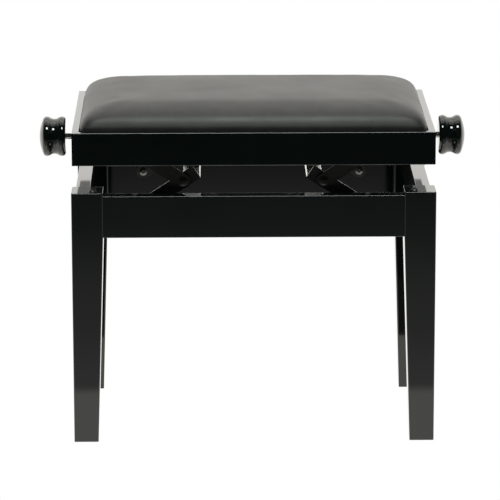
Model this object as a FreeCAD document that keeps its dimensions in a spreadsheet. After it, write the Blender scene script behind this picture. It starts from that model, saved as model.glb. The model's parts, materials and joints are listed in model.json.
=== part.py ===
import FreeCAD, Part
import math
import os

import Sketcher

# Height-adjustable piano bench: a lacquered leg frame, a mitred seat frame with an upholstered
# pad, and between them a screw-driven half-scissor at each end.  Turning either side knob turns
# one spindle with a left-hand and a right-hand thread, which pulls the two trunnion nuts apart
# or together and so raises or lowers the seat.
#
# Millimetres.  +X runs along the seat, +Y from front to back, +Z up.  The origin is on the
# floor under the middle of the bench.  Left is -X and right is +X.

DIMENSIONS = (
    # seat frame
    ("seat_length", 550, "seat frame, left to right"),
    ("seat_width", 330, "seat frame, front to back"),
    ("seat_bottom", 437.5, "underside of the seat frame above the floor"),
    ("rail_height", 50.5, "height of the seat rails"),
    ("rail_thickness", 20, "thickness of the seat rails"),
    ("rebate_width", 9, "width of the step that the seat board lies in"),
    ("rebate_depth", 12, "depth of that step, equal to the board's thickness"),
    ("edge_round", 1.2, "polished rounding of the lacquered edges"),
    ("block_leg", 40, "leg of the triangular glue blocks in the seat frame"),
    ("block_height", 26, "height of those glue blocks"),
    ("block_screw", 12, "board screws from the inner faces of the rails"),
    ("relief_depth", 6, "depth of the upper pivot bolts' tips in the seat rails"),
    # upholstery
    ("cover_thickness", 1.2, "leather cover"),
    ("cover_gap", 0.3, "clearance between the cover and the rebate"),
    ("foam_height", 37.4, "foam above the top of the seat frame"),
    ("foam_round", 16, "rounding of the foam's upper edges"),
    ("pad_corner", 12, "corner radius of the pad seen from above"),
    # leg frame
    ("base_length", 554, "leg frame, left to right"),
    ("base_width", 330, "leg frame, front to back"),
    ("leg_size", 48, "square section of a leg at its top"),
    ("foot_size", 37.4, "square section of a leg at its foot"),
    ("leg_top", 395, "top of the legs above the floor"),
    ("leg_round", 2, "rounding of the legs' long edges"),
    ("apron_bottom", 324.3, "underside of the aprons, where the legs begin to taper"),
    ("apron_height", 64.8, "height of the aprons"),
    ("apron_thickness", 22, "thickness of the aprons"),
    ("apron_inset", 5, "setback of the aprons from the legs' outer faces"),
    ("dowel_radius", 5, "joint dowels"),
    ("dowel_depth", 20, "depth of a dowel in each of its two pieces"),
    ("dowel_edge", 14, "distance of the dowels from the aprons' upper and lower edges"),
    ("glide_height", 2.5, "glide under each leg"),
    ("glide_radius", 11, "glide under each leg"),
    ("glide_pin_radius", 1.4, "pin that holds a glide"),
    ("glide_pin_length", 12.5, "pin that holds a glide"),
    ("bumper_height", 4, "rubber stop on each leg top"),
    ("bumper_radius", 6, "rubber stop on each leg top"),
    ("stem_radius", 3, "stem of a rubber stop"),
    ("stem_length", 8, "stem of a rubber stop"),
    ("bumper_x", 32, "rubber stop from the leg's outer side face"),
    ("bumper_y", 15, "rubber stop from the leg's outer front or back face"),
    # half-scissor mechanism
    ("link_length", 78.1, "pivot to crossing, crossing to seat pivot and crossing to nut"),
    ("foot_pivot_height", 364, "lower pivots in the aprons, above the floor"),
    ("seat_pivot_rise", 11.5, "upper pivots and the spindle above the seat frame's underside"),
    ("pivot_spread", 172.5, "lower and upper pivots from the middle of the bench"),
    ("arm_width", 22, "width of the lift arms and links"),
    ("plate_thickness", 4, "thickness of the lift arms, links, forks and seat brackets"),
    ("arm_overrun", 24.5, "square end of a lift arm past its crossing"),
    ("arm_layer", 127, "middle plane of the lift arms from the bench's middle"),
    ("link_layer", 132, "middle plane of the links from the bench's middle"),
    ("side_gap", 0.3, "free gap between faces that slide past each other"),
    ("pin_radius", 4, "shoulders of the pivot bolts and rivets"),
    ("pin_play", 0.1, "radial running clearance on the pins"),
    ("head_radius", 6, "heads of the pivot bolts"),
    ("spacer_radius", 8, "spacers of the pivot bolts"),
    ("head_height", 4, "heads of the pivot bolts"),
    ("thread_radius", 3, "threaded ends of the pivot bolts"),
    ("socket_radius", 2.9, "corner radius of the hexagon sockets in the pivot bolts' heads"),
    ("socket_depth", 2.6, "depth of those sockets"),
    ("bolt_thread", 12, "threaded end of a lower pivot bolt"),
    ("insert_radius", 5, "threaded inserts in the aprons"),
    ("insert_length", 14, "threaded inserts in the aprons"),
    ("washer_radius", 9, "washers at the crossings"),
    ("rivet_head_radius", 7.3, "domed heads of the rivets at the crossings"),
    ("rivet_head_height", 3, "domed heads of the rivets at the crossings"),
    ("bar_width", 30, "flat bar across the square ends of the two arms of one side"),
    ("bar_round", 0.5, "rounding of that cross-bar's long edges"),
    ("fork_foot", 20, "length of the fork's foot along the arms, where it is welded to the cross-bar"),
    ("fork_gap", 28, "opening between the fork's ears"),
    # seat brackets
    ("bracket_length", 390, "steel bar screwed to each long seat rail"),
    ("bracket_height", 24, "steel bar screwed to each long seat rail"),
    ("bracket_edge", 9, "upper pivots above the bar's lower edge"),
    ("screw_radius", 2, "wood screws"),
    ("screw_head_radius", 4, "wood screws"),
    ("screw_head_height", 2.4, "wood screws"),
    ("screw_bite", 12, "depth of the bracket screws in the rails"),
    ("cross_reach", 2.2, "arms of the cross recess in a screw's head, from its middle"),
    ("cross_width", 1, "width of those arms"),
    ("cross_depth", 1.4, "depth of the cross recess"),
    # spindle, nuts and knobs
    ("spindle_radius", 7, "threaded stretch of the spindle"),
    ("spindle_half", 112, "half length of the threaded stretch"),
    ("journal_radius", 4.5, "plain ends of the spindle"),
    ("nut_size", 24, "square section of a nut"),
    ("nut_length", 22, "length of a nut along the spindle"),
    ("nut_round", 2, "rounding of a nut's long edges"),
    ("trunnion_radius", 5, "side pins of a nut"),
    ("trunnion_half", 20, "tip of a side pin from the spindle's axis"),
    ("clip_radius", 8, "retaining ring on a side pin"),
    ("clip_thickness", 1, "retaining ring on a side pin"),
    ("bush_radius", 6, "bush in each side rail"),
    ("flange_radius", 10, "flange of the bush and the thrust collar"),
    ("flange_thickness", 2, "flange of the bush"),
    ("collar_length", 10, "thrust collar"),
    ("knob_radius", 31, "turned knob"),
    ("knob_length", 41, "turned knob"),
    ("knob_gap", 15, "knob's back face from the seat frame"),
    ("knob_waist", 3.6, "depth of the waist below the two rims"),
    ("knob_dome", 11.4, "height of the domed face beyond the outer rim"),
    ("knob_rim", 5.7, "height of the inner rim and rounding of its back corner"),
    ("knob_corner", 6, "rounding between the outer rim and the domed face"),
    ("knob_insert_radius", 7, "steel insert in the knob"),
    ("knob_insert_length", 26, "steel insert in the knob"),
    ("knob_insert_floor", 4, "closed end of the steel insert"),
)

QUARTER_BULGE = 1 - math.cos(math.radians(45))
NEARLY_ZERO = 1e-9
TOUCHING = 1e-3
VECTOR = FreeCAD.Vector
CORNERS = (("front_left", -1, -1, 0), ("front_right", 1, -1, 90),
           ("back_right", 1, 1, 180), ("back_left", -1, 1, 270))
SIDES = (("left", -1), ("right", 1))
ENDS = (("front", -1), ("back", 1))
PIVOT_CORNERS = tuple((sx, sy) for _, sx in SIDES for _, sy in ENDS)

DOC = FreeCAD.newDocument("piano_bench")
SHEET = DOC.addObject("Spreadsheet::Sheet", "dims")
NODES = []


def fill_sheet():
    """Writes one row per driving dimension: what it is, and its value under its alias."""
    for row, (alias, value, note) in enumerate(DIMENSIONS, 1):
        SHEET.set(f"A{row}", note)
        SHEET.set(f"B{row}", str(value))
        SHEET.setAlias(f"B{row}", alias)
    DOC.recompute()


class Size:
    """A length that carries both its formula over the sheet and its present value."""

    def __init__(self, formula, value):
        self.formula = formula
        self.value = value

    def joined(self, other, sign, value):
        return Size(f"({self.formula} {sign} {other.formula})", value)

    def __add__(self, other):
        other = size_of(other)
        return self.joined(other, "+", self.value + other.value)

    def __sub__(self, other):
        other = size_of(other)
        return self.joined(other, "-", self.value - other.value)

    def __mul__(self, other):
        other = size_of(other)
        return self.joined(other, "*", self.value * other.value)

    def __truediv__(self, other):
        other = size_of(other)
        return self.joined(other, "/", self.value / other.value)

    def __neg__(self):
        return size_of(0) - self

    def __radd__(self, other):
        return size_of(other) + self

    def __rsub__(self, other):
        return size_of(other) - self

    def __rmul__(self, other):
        return size_of(other) * self


def size_of(item):
    """A plain number as a Size; a Size as it is."""
    if isinstance(item, Size):
        return item
    return Size(f"{float(item):.9g}", float(item))


def dim(alias):
    """A driving dimension of the sheet."""
    return Size(f"dims.{alias}", float(SHEET.get(alias)))


def root(size):
    """The square root of a Size."""
    return Size(f"sqrt({size.formula})", math.sqrt(size.value))


def bind(item, name, size):
    """Ties one property of an object to its formula over the sheet."""
    item.setExpression(name, size_of(size).formula)


# ---------------------------------------------------------------- sketches and features

def new_body(label):
    body = DOC.addObject("PartDesign::Body", label)
    body.Label = label
    return body


def new_sketch(body, role, level=0):
    """A sketch on one of the body's origin planes, or parallel to it at a level along its normal."""
    sketch = body.newObject("Sketcher::SketchObject", "sketch")
    plane = [item for item in body.Origin.OriginFeatures if item.Role == role][0]
    sketch.AttachmentSupport = [(plane, "")]
    sketch.MapMode = "FlatFace"
    bind(sketch, "AttachmentOffset.Base.z", level)
    return sketch


def locate(sketch, geometry, point, x, y):
    """Ties one point of a sketch to the sketch's origin by its coordinates."""
    for kind, size, axis in (("DistanceX", size_of(x), -2), ("DistanceY", size_of(y), -1)):
        if abs(size.value) < NEARLY_ZERO:
            sketch.addConstraint(Sketcher.Constraint("PointOnObject", geometry, point, axis))
        else:
            rule = Sketcher.Constraint(kind, -1, 1, geometry, point, size.value)
            bind(sketch, f"Constraints[{sketch.addConstraint(rule)}]", size)


def add_arc(sketch, start, end, bulge):
    """An arc between two corners that stands out by its bulge to the right of the way it runs."""
    run_x, run_y = end[0] - start[0], end[1] - start[1]
    chord = root(run_x * run_x + run_y * run_y)
    out_x, out_y = run_y / chord, -run_x / chord
    middle = VECTOR((start[0] + end[0]).value / 2 + (out_x * bulge).value,
                    (start[1] + end[1]).value / 2 + (out_y * bulge).value, 0)
    first = VECTOR(start[0].value, start[1].value, 0)
    last = VECTOR(end[0].value, end[1].value, 0)
    outward = bulge.value > 0
    arc = Part.Arc(first, middle, last) if outward else Part.Arc(last, middle, first)
    index = sketch.addGeometry(arc, False)
    # the signed distance from the chord to the centre, against the bulge
    setback = (chord * chord / 4 - bulge * bulge) / (2 * bulge)
    if abs(out_x.value) > abs(out_y.value):
        centre = (start[0] + end[0]) / 2 - out_x * setback
        rule, axis = "DistanceX", -2
    else:
        centre = (start[1] + end[1]) / 2 - out_y * setback
        rule, axis = "DistanceY", -1
    if abs(centre.value) < NEARLY_ZERO:
        sketch.addConstraint(Sketcher.Constraint("PointOnObject", index, 3, axis))
    else:
        number = sketch.addConstraint(Sketcher.Constraint(rule, -1, 1, index, 3, centre.value))
        bind(sketch, f"Constraints[{number}]", centre)
    return (index, 1, 2) if outward else (index, 2, 1)


def outline(sketch, corners):
    """A closed outline that runs anticlockwise; a third entry of a corner is its arc's bulge."""
    places = [(size_of(corner[0]), size_of(corner[1])) for corner in corners]
    edges = []
    for number, corner in enumerate(corners):
        start, end = places[number], places[(number + 1) % len(corners)]
        if len(corner) > 2:
            edges.append(add_arc(sketch, start, end, size_of(corner[2])))
        else:
            line = Part.LineSegment(VECTOR(start[0].value, start[1].value, 0),
                                    VECTOR(end[0].value, end[1].value, 0))
            edges.append((sketch.addGeometry(line, False), 1, 2))
    for number, (index, first, _) in enumerate(edges):
        before, _, last = edges[number - 1]
        sketch.addConstraint(Sketcher.Constraint("Coincident", before, last, index, first))
        locate(sketch, index, first, *places[number])


def add_circle(sketch, x, y, radius):
    x, y, radius = size_of(x), size_of(y), size_of(radius)
    circle = Part.Circle(VECTOR(x.value, y.value, 0), VECTOR(0, 0, 1), radius.value)
    index = sketch.addGeometry(circle, False)
    locate(sketch, index, 3, x, y)
    number = sketch.addConstraint(Sketcher.Constraint("Radius", index, radius.value))
    bind(sketch, f"Constraints[{number}]", radius)


def dome_bulge(radius, height):
    """Bulge of the arc from the rim of a spherical cap up to its middle."""
    chord = root(radius * radius + height * height)
    ball = chord * chord / (2 * height)
    return ball - root(ball * ball - chord * chord / 4)


def rounded_rectangle(sketch, x0, y0, x1, y1, radius):
    """A rectangle with its four corners rounded alike."""
    r, bulge = radius, radius * QUARTER_BULGE
    outline(sketch, ((x0 + r, y0), (x1 - r, y0, bulge), (x1, y0 + r), (x1, y1 - r, bulge),
                     (x1 - r, y1), (x0 + r, y1, bulge), (x0, y1 - r), (x0, y0 + r, bulge)))


def pad(body, sketch, length, both_ways=False):
    feature = body.newObject("PartDesign::Pad", "pad")
    feature.Profile = sketch
    bind(feature, "Length", length)
    feature.SideType = "Symmetric" if both_ways else "One side"
    return feature


def cut(body, sketch, length):
    """A pocket that reaches half its length to each side of its sketch; it has to remove material."""
    DOC.recompute()
    before = body.Shape.Volume
    feature = body.newObject("PartDesign::Pocket", "pocket")
    feature.Profile = sketch
    feature.Type = "Length"
    feature.SideType = "Symmetric"
    bind(feature, "Length", length)
    DOC.recompute()
    if body.Shape.Volume > before - NEARLY_ZERO:
        raise RuntimeError(f"a pocket of {body.Label} removes nothing")
    return feature


def drill(body, role, level, holes, depth):
    """Round holes, each (x, y, radius), that go a depth into the body from a level."""
    sketch = new_sketch(body, role, level)
    for hole in holes:
        add_circle(sketch, *hole)
    cut(body, sketch, 2 * size_of(depth))


def soften(body, feature, radius, wanted):
    """Rounds the edges of the body for which wanted(edge) is true."""
    DOC.recompute()
    names = [f"Edge{n}" for n, edge in enumerate(feature.Shape.Edges, 1) if wanted(edge)]
    fillet = body.newObject("PartDesign::Fillet", "fillet")
    fillet.Base = (feature, names)
    bind(fillet, "Radius", radius)


def turned(label, corners):
    """A body of revolution about its own Z axis, from an outline of (radius, height) corners."""
    body = new_body(label)
    sketch = new_sketch(body, "XZ_Plane")
    outline(sketch, corners)
    spin = body.newObject("PartDesign::Revolution", "revolution")
    spin.Profile = sketch
    spin.ReferenceAxis = (sketch, ["V_Axis"])
    spin.Angle = 360
    return body


def ring(label, inner, outer, length):
    """A plain ring or tube from height 0 to its length."""
    return turned(label, ((inner, 0), (outer, 0), (outer, length), (inner, length)))


# ---------------------------------------------------------------- places

def turn_about(axis, degrees):
    return FreeCAD.Rotation(VECTOR(*axis), degrees)


TURN_NONE = turn_about((0, 0, 1), 0)


def pointing(x, y, z):
    """The rotation that points a body's own Z axis along a direction."""
    return FreeCAD.Rotation(VECTOR(0, 0, 1), VECTOR(x, y, z))


def place(item, x, y, z, rotation=TURN_NONE):
    """Sets a piece's turn, and ties its position to the sheet."""
    item.Placement = FreeCAD.Placement(VECTOR(0, 0, 0), rotation)
    for axis, size in (("x", x), ("y", y), ("z", z)):
        bind(item, f"Placement.Base.{axis}", size)
    return item


def node(item):
    """Registers a finished piece, whose label names its file."""
    NODES.append(item)
    return item


def group(label, members):
    """One node that holds several identical loose pieces."""
    compound = DOC.addObject("Part::Compound", label)
    compound.Label = label
    compound.Links = members
    return node(compound)


# ---------------------------------------------------------------- leg frame

def leg(name, sx, sy, turn):
    """A leg in its own frame: outer corner at the origin, tapered on its two inner faces."""
    body = new_body(f"leg_{name}")
    size, foot, soft = dim("leg_size"), dim("foot_size"), dim("leg_round")
    taper = dim("apron_bottom") - dim("glide_height")
    height = dim("leg_top") - dim("glide_height")
    low = new_sketch(body, "XY_Plane")
    rounded_rectangle(low, size_of(0), size_of(0), foot, foot, soft)
    high = new_sketch(body, "XY_Plane", taper)
    rounded_rectangle(high, size_of(0), size_of(0), size, size, soft)
    loft = body.newObject("PartDesign::AdditiveLoft", "taper")
    loft.Profile = low
    loft.Sections = [high]
    loft.Ruled = True
    shaft = pad(body, high, height - taper)
    soften(body, shaft, dim("edge_round"), lambda edge: edge.BoundBox.ZMin > height.value - TOUCHING)
    # dowel holes in the two inner faces, at the middle of the aprons' thickness
    lane = dim("apron_inset") + dim("apron_thickness") / 2
    levels = [level - dim("glide_height") for level in dowel_levels()]
    radius, depth = dim("dowel_radius"), dim("dowel_depth")
    drill(body, "YZ_Plane", size, [(lane, level, radius) for level in levels], depth)
    drill(body, "XZ_Plane", -size, [(lane, level, radius) for level in levels], depth)
    # seats of the rubber stop and of the glide's pin
    stop = (dim("bumper_x"), dim("bumper_y")) if turn % 180 == 0 else (dim("bumper_y"), dim("bumper_x"))
    drill(body, "XY_Plane", height, [(*stop, dim("stem_radius"))], dim("stem_length"))
    drill(body, "XY_Plane", 0, [(foot / 2, foot / 2, dim("glide_pin_radius"))], dim("glide_pin_length"))
    place(body, sx * dim("base_length") / 2, sy * dim("base_width") / 2, dim("glide_height"),
          turn_about((0, 0, 1), turn))
    return node(body)


def dowel_levels():
    low = dim("apron_bottom") + dim("dowel_edge")
    high = dim("apron_bottom") + dim("apron_height") - dim("dowel_edge")
    return low, high


def board(label, length, thickness, height, soft):
    """A straight board: length along X, outer face at Y 0, lower edge at Z 0, long edges softened."""
    body = new_body(label)
    sketch = new_sketch(body, "YZ_Plane")
    rounded_rectangle(sketch, size_of(0), size_of(0), thickness, height, soft)
    pad(body, sketch, length, both_ways=True)
    return body


def apron(label, span, reach, sx, sy, turn, with_pivots):
    """An apron between two legs; the long ones carry the inserts of the lower pivots."""
    thick, height = dim("apron_thickness"), dim("apron_height")
    length = span - 2 * dim("leg_size")
    body = board(label, length, thick, height, dim("edge_round"))
    spots = [(thick / 2, level - dim("apron_bottom"), dim("dowel_radius")) for level in dowel_levels()]
    for side in (-1, 1):
        drill(body, "YZ_Plane", side * length / 2, spots, dim("dowel_depth"))
    if with_pivots:
        level = dim("foot_pivot_height") - dim("apron_bottom")
        holes = [(side * dim("pivot_spread"), level, dim("insert_radius")) for side in (-1, 1)]
        drill(body, "XZ_Plane", -thick, holes, dim("insert_length"))
    back = reach / 2 - dim("apron_inset")
    place(body, sx * back, sy * back, dim("apron_bottom"), turn_about((0, 0, 1), turn))
    return node(body)


def leg_frame():
    for corner in CORNERS:
        leg(*corner)
    length, width = dim("base_length"), dim("base_width")
    apron("apron_front", length, width, 0, -1, 0, True)
    apron("apron_back", length, width, 0, 1, 180, True)
    apron("apron_left", width, length, -1, 0, 270, False)
    apron("apron_right", width, length, 1, 0, 90, False)
    dowels()
    glides()
    bumpers()
    lower_pivots()


def dowels():
    """Two dowels in each of the eight joints between an apron and a leg."""
    lane = dim("apron_inset") + dim("apron_thickness") / 2
    half = dim("dowel_depth")
    joint_x = dim("base_length") / 2 - dim("leg_size")
    joint_y = dim("base_width") / 2 - dim("leg_size")
    side_x = dim("base_length") / 2 - lane
    side_y = dim("base_width") / 2 - lane
    members = []
    for _, sx, sy, _ in CORNERS:
        for level in dowel_levels():
            for x, y, direction in ((joint_x, side_y, (1, 0, 0)), (side_x, joint_y, (0, 1, 0))):
                peg = turned("dowel", ((0, -half), (dim("dowel_radius"), -half),
                                       (dim("dowel_radius"), half), (0, half)))
                members.append(place(peg, sx * x, sy * y, level, pointing(*direction)))
    group("apron_dowels", members)


def glides():
    """A low disc under each foot, held by a pin."""
    radius, high, pin = dim("glide_radius"), dim("glide_height"), dim("glide_pin_radius")
    bevel, tip = high / 3, high + dim("glide_pin_length")
    members = []
    for _, sx, sy, _ in CORNERS:
        disc = turned("glide", ((0, 0), (radius - bevel, 0), (radius, bevel), (radius, high),
                                (pin, high), (pin, tip), (0, tip)))
        x = dim("base_length") / 2 - dim("foot_size") / 2
        y = dim("base_width") / 2 - dim("foot_size") / 2
        members.append(place(disc, sx * x, sy * y, 0))
    group("foot_glides", members)


def bumpers():
    """A domed rubber stop in the top of each leg."""
    radius, high = dim("bumper_radius"), dim("bumper_height")
    stem, deep = dim("stem_radius"), dim("stem_length")
    members = []
    for _, sx, sy, _ in CORNERS:
        stop = turned("bumper", ((0, -deep), (stem, -deep), (stem, 0),
                                 (radius, 0, dome_bulge(radius, high)), (0, high)))
        x = dim("base_length") / 2 - dim("bumper_x")
        y = dim("base_width") / 2 - dim("bumper_y")
        members.append(place(stop, sx * x, sy * y, dim("leg_top")))
    group("leg_bumpers", members)


# ---------------------------------------------------------------- pivots

def recess(body, level, depth, corners):
    """Cuts a drive recess of the given outline into a screw head, from its face at a level."""
    sketch = new_sketch(body, "XY_Plane", level)
    outline(sketch, corners)
    cut(body, sketch, 2 * depth)


def hexagon(radius):
    """The corners of a hexagon, anticlockwise."""
    angles = [math.radians(60 * step) for step in range(6)]
    return [(radius * math.cos(angle), radius * math.sin(angle)) for angle in angles]


def cross(reach, half):
    """The corners of a plus sign, anticlockwise."""
    arm = ((reach, -half), (reach, half), (half, half))
    corners = []
    for _ in range(4):
        corners.extend(arm)
        arm = [(-y, x) for x, y in arm]
    return corners


def shoulder_bolt(label, thread_length, shoulder_length):
    """A shoulder bolt: thread below Z 0, shoulder above it, domed head with a hexagon socket on top."""
    thread, pin, head = dim("thread_radius"), dim("pin_radius"), dim("head_radius")
    top = shoulder_length + dim("head_height")
    crown = dim("head_height") / 2
    body = turned(label, ((0, -thread_length), (thread, -thread_length), (thread, 0), (pin, 0),
                          (pin, shoulder_length), (head, shoulder_length),
                          (head, top - crown, dome_bulge(head, crown)), (0, top)))
    recess(body, top, dim("socket_depth"), hexagon(dim("socket_radius")))
    return body


def arm_face():
    """The arms' inner faces, from the bench's middle."""
    return dim("arm_layer") - dim("plate_thickness") / 2


def lower_pivots():
    """Inserts, spacers and shoulder bolts that hold the lift arms to the long aprons."""
    apron_face = dim("base_width") / 2 - dim("apron_inset") - dim("apron_thickness")
    spacer_length = apron_face - dim("arm_layer") - dim("plate_thickness") / 2 - dim("side_gap")
    shoulder = apron_face - arm_face() + dim("side_gap")
    inserts, spacers, bolts = [], [], []
    for sx, sy in PIVOT_CORNERS:
        spot = (sx * dim("pivot_spread"), sy * apron_face, dim("foot_pivot_height"))
        insert = ring("insert", dim("thread_radius"), dim("insert_radius"), dim("insert_length"))
        inserts.append(place(insert, *spot, pointing(0, sy, 0)))
        spacer = ring("spacer", dim("pin_radius"), dim("spacer_radius"), spacer_length)
        spacers.append(place(spacer, *spot, pointing(0, -sy, 0)))
        bolt = shoulder_bolt("bolt", dim("bolt_thread"), shoulder)
        bolts.append(place(bolt, *spot, pointing(0, -sy, 0)))
    group("apron_inserts", inserts)
    group("lower_pivot_spacers", spacers)
    group("lower_pivot_bolts", bolts)


def bracket_face():
    """The seat brackets' inner faces, from the bench's middle."""
    return dim("seat_width") / 2 - dim("rail_thickness") - dim("plate_thickness")


def upper_pivots():
    """Spacers and shoulder bolts that hold the links to the seat brackets."""
    link_outer = dim("link_layer") + dim("plate_thickness") / 2
    link_inner = dim("link_layer") - dim("plate_thickness") / 2
    spacers, bolts = [], []
    for sx, sy in PIVOT_CORNERS:
        spot = (sx * dim("pivot_spread"), sy * bracket_face(), seat_pivot_height())
        spacer = ring("spacer", dim("pin_radius"), dim("spacer_radius"),
                      bracket_face() - link_outer - dim("side_gap"))
        spacers.append(place(spacer, *spot, pointing(0, -sy, 0)))
        bolt = shoulder_bolt("bolt", dim("relief_depth") + dim("plate_thickness"),
                             bracket_face() - link_inner + dim("side_gap"))
        bolts.append(place(bolt, *spot, pointing(0, -sy, 0)))
    group("upper_pivot_spacers", spacers)
    group("upper_pivot_bolts", bolts)


def seat_pivot_height():
    return dim("seat_bottom") + dim("seat_pivot_rise")


# ---------------------------------------------------------------- seat frame

def seat_rail(label, length, sx, sy, turn, holes, depth):
    """A seat rail: outer face at Y 0, rebated inside at the top, mitred at both ends."""
    body = new_body(label)
    thick, height = dim("rail_thickness"), dim("rail_height")
    lip = thick - dim("rebate_width")
    section = new_sketch(body, "YZ_Plane")
    outline(section, ((0, 0), (thick, 0), (thick, height - dim("rebate_depth")),
                      (lip, height - dim("rebate_depth")), (lip, height), (0, height)))
    bar = pad(body, section, length, both_ways=True)
    rims = {(0, 0), (0, height.value), (lip.value, height.value)}

    def is_rim(edge):
        box = edge.BoundBox
        return box.XLength > 1 and (round(box.YMin, 3), round(box.ZMin, 3)) in rims

    soften(body, bar, dim("edge_round"), is_rim)
    mitres = new_sketch(body, "XY_Plane")
    over = thick / 4
    outline(mitres, ((length / 2 + over, -over), (length / 2 + over, thick + over),
                     (length / 2 - thick - over, thick + over)))
    outline(mitres, ((-length / 2 - over, -over), (-length / 2 + thick + over, thick + over),
                     (-length / 2 - over, thick + over)))
    cut(body, mitres, 2 * (height + over))
    for spots, level in holes:
        drill(body, "XZ_Plane", level, spots, depth)
    reach = dim("seat_length") / 2 if sx else dim("seat_width") / 2
    place(body, sx * reach, sy * reach, dim("seat_bottom"), turn_about((0, 0, 1), turn))
    return node(body)


def bracket_screw_spots():
    """Places of one bracket's screws along X."""
    outer = dim("bracket_length") / 2 - 2 * dim("screw_head_radius")
    return [-outer, -dim("pivot_spread") / 2, dim("pivot_spread") / 2, outer]


def screw_level():
    """The bracket screws above the seat frame's underside."""
    return dim("seat_pivot_rise") - dim("bracket_edge") + dim("bracket_height") / 2 + dim("screw_head_radius")


def seat_frame():
    thick = dim("rail_thickness")
    screws = [(x, screw_level(), dim("screw_radius")) for x in bracket_screw_spots()]
    reliefs = [(side * dim("pivot_spread"), dim("seat_pivot_rise"), dim("pin_radius")) for side in (-1, 1)]
    long_holes = [(screws + reliefs, -thick)]
    bush = [([(size_of(0), dim("seat_pivot_rise"), dim("bush_radius"))], -thick / 2)]
    length, width = dim("seat_length"), dim("seat_width")
    seat_rail("seat_rail_front", length, 0, -1, 0, long_holes, dim("screw_bite"))
    seat_rail("seat_rail_back", length, 0, 1, 180, long_holes, dim("screw_bite"))
    seat_rail("seat_rail_left", width, -1, 0, 270, bush, thick)
    seat_rail("seat_rail_right", width, 1, 0, 90, bush, thick)
    seat_blocks()
    brackets()
    upper_pivots()


def board_level():
    """Underside of the seat board."""
    return dim("seat_bottom") + dim("rail_height") - dim("rebate_depth")


def seat_blocks():
    """Triangular blocks in the seat frame's corners, and the screws that hold the board from below."""
    leg_length, high, screw_place = dim("block_leg"), dim("block_height"), dim("block_screw")
    screws = []
    inner_x = dim("seat_length") / 2 - dim("rail_thickness")
    inner_y = dim("seat_width") / 2 - dim("rail_thickness")
    for name, sx, sy, turn in CORNERS:
        body = new_body(f"seat_block_{name}")
        sketch = new_sketch(body, "XY_Plane")
        outline(sketch, ((0, 0), (leg_length, 0), (0, leg_length)))
        add_circle(sketch, screw_place, screw_place, dim("screw_radius"))
        pad(body, sketch, high)
        place(body, sx * inner_x, sy * inner_y, board_level() - high, turn_about((0, 0, 1), turn))
        node(body)
        screw = wood_screw("screw", high + dim("rebate_depth") / 2)
        screws.append(place(screw, sx * (inner_x - screw_place), sy * (inner_y - screw_place),
                            board_level() - high))
    group("seat_board_screws", screws)


def wood_screw(label, length):
    """A pan-head wood screw: head below Z 0 with a cross recess, shank up to its length."""
    shank, head, low = dim("screw_radius"), dim("screw_head_radius"), -dim("screw_head_height")
    bevel = shank / 2
    body = turned(label, ((0, low), (head - bevel, low), (head, low + bevel), (head, 0), (shank, 0),
                          (shank, length - shank), (0, length)))
    recess(body, low, dim("cross_depth"), cross(dim("cross_reach"), dim("cross_width") / 2))
    return body


def brackets():
    """A flat steel bar on the inside of each long seat rail, with its screws."""
    screws = []
    bar_low = dim("seat_pivot_rise") - dim("bracket_edge")
    for name, sy in ENDS:
        body = new_body(f"seat_bracket_{name}")
        sketch = new_sketch(body, "XZ_Plane")
        half = dim("bracket_length") / 2
        rounded_rectangle(sketch, -half, size_of(0), half, dim("bracket_height"), dim("plate_thickness"))
        for side in (-1, 1):
            add_circle(sketch, side * dim("pivot_spread"), dim("bracket_edge"), dim("thread_radius"))
        for x in bracket_screw_spots():
            add_circle(sketch, x, screw_level() - bar_low, dim("screw_radius"))
            screw = wood_screw("screw", dim("plate_thickness") + dim("screw_bite"))
            spot = (x, sy * bracket_face(), dim("seat_bottom") + screw_level())
            screws.append(place(screw, *spot, pointing(0, sy, 0)))
        pad(body, sketch, dim("plate_thickness"), both_ways=True)
        middle = bracket_face() + dim("plate_thickness") / 2
        place(body, 0, sy * middle, dim("seat_bottom") + bar_low)
        node(body)
    group("bracket_screws", screws)


# ---------------------------------------------------------------- upholstery

def pad_half(reach):
    """Half the leather pad's outside size within one half of the seat frame."""
    return reach / 2 - dim("rail_thickness") + dim("rebate_width") - dim("cover_gap")


def pillow(label, shrink, height, crown):
    """A slab with rounded corners whose upper edge is rounded, or left square if crown is None."""
    body = new_body(label)
    sketch = new_sketch(body, "XY_Plane")
    half_x = pad_half(dim("seat_length")) - shrink
    half_y = pad_half(dim("seat_width")) - shrink
    rounded_rectangle(sketch, -half_x, -half_y, half_x, half_y, dim("pad_corner") - shrink)
    slab = pad(body, sketch, height)
    if crown is not None:
        soften(body, slab, crown, lambda edge: edge.BoundBox.ZMin > height.value - TOUCHING)
    return body


def upholstery():
    """Plywood board, foam and the leather that wraps both."""
    skin, deep = dim("cover_thickness"), dim("rebate_depth")
    board_body = pillow("seat_board", skin, deep, None)
    inner_x = dim("seat_length") / 2 - dim("rail_thickness") - dim("block_screw")
    inner_y = dim("seat_width") / 2 - dim("rail_thickness") - dim("block_screw")
    holes = [(sx * inner_x, sy * inner_y, dim("screw_radius")) for _, sx, sy, _ in CORNERS]
    drill(board_body, "XY_Plane", 0, holes, deep / 2)
    node(place(board_body, 0, 0, board_level()))
    foam = pillow("seat_foam", skin, dim("foam_height"), dim("foam_round"))
    node(place(foam, 0, 0, board_level() + deep))
    core = pillow("cover_core", skin, dim("foam_height") + deep, dim("foam_round"))
    shell = pillow("cover_shell", size_of(0), dim("foam_height") + deep + skin, dim("foam_round") + skin)
    cover = DOC.addObject("Part::Cut", "seat_cover")
    cover.Label = "seat_cover"
    cover.Base = shell
    cover.Tool = core
    node(place(cover, 0, 0, board_level()))


# ---------------------------------------------------------------- half-scissor

def arm_angle():
    """The lift arms' slope at rest, in degrees."""
    rise = (seat_pivot_height() - dim("foot_pivot_height")) / 2
    return math.degrees(math.asin(rise.value / dim("link_length").value))


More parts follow.
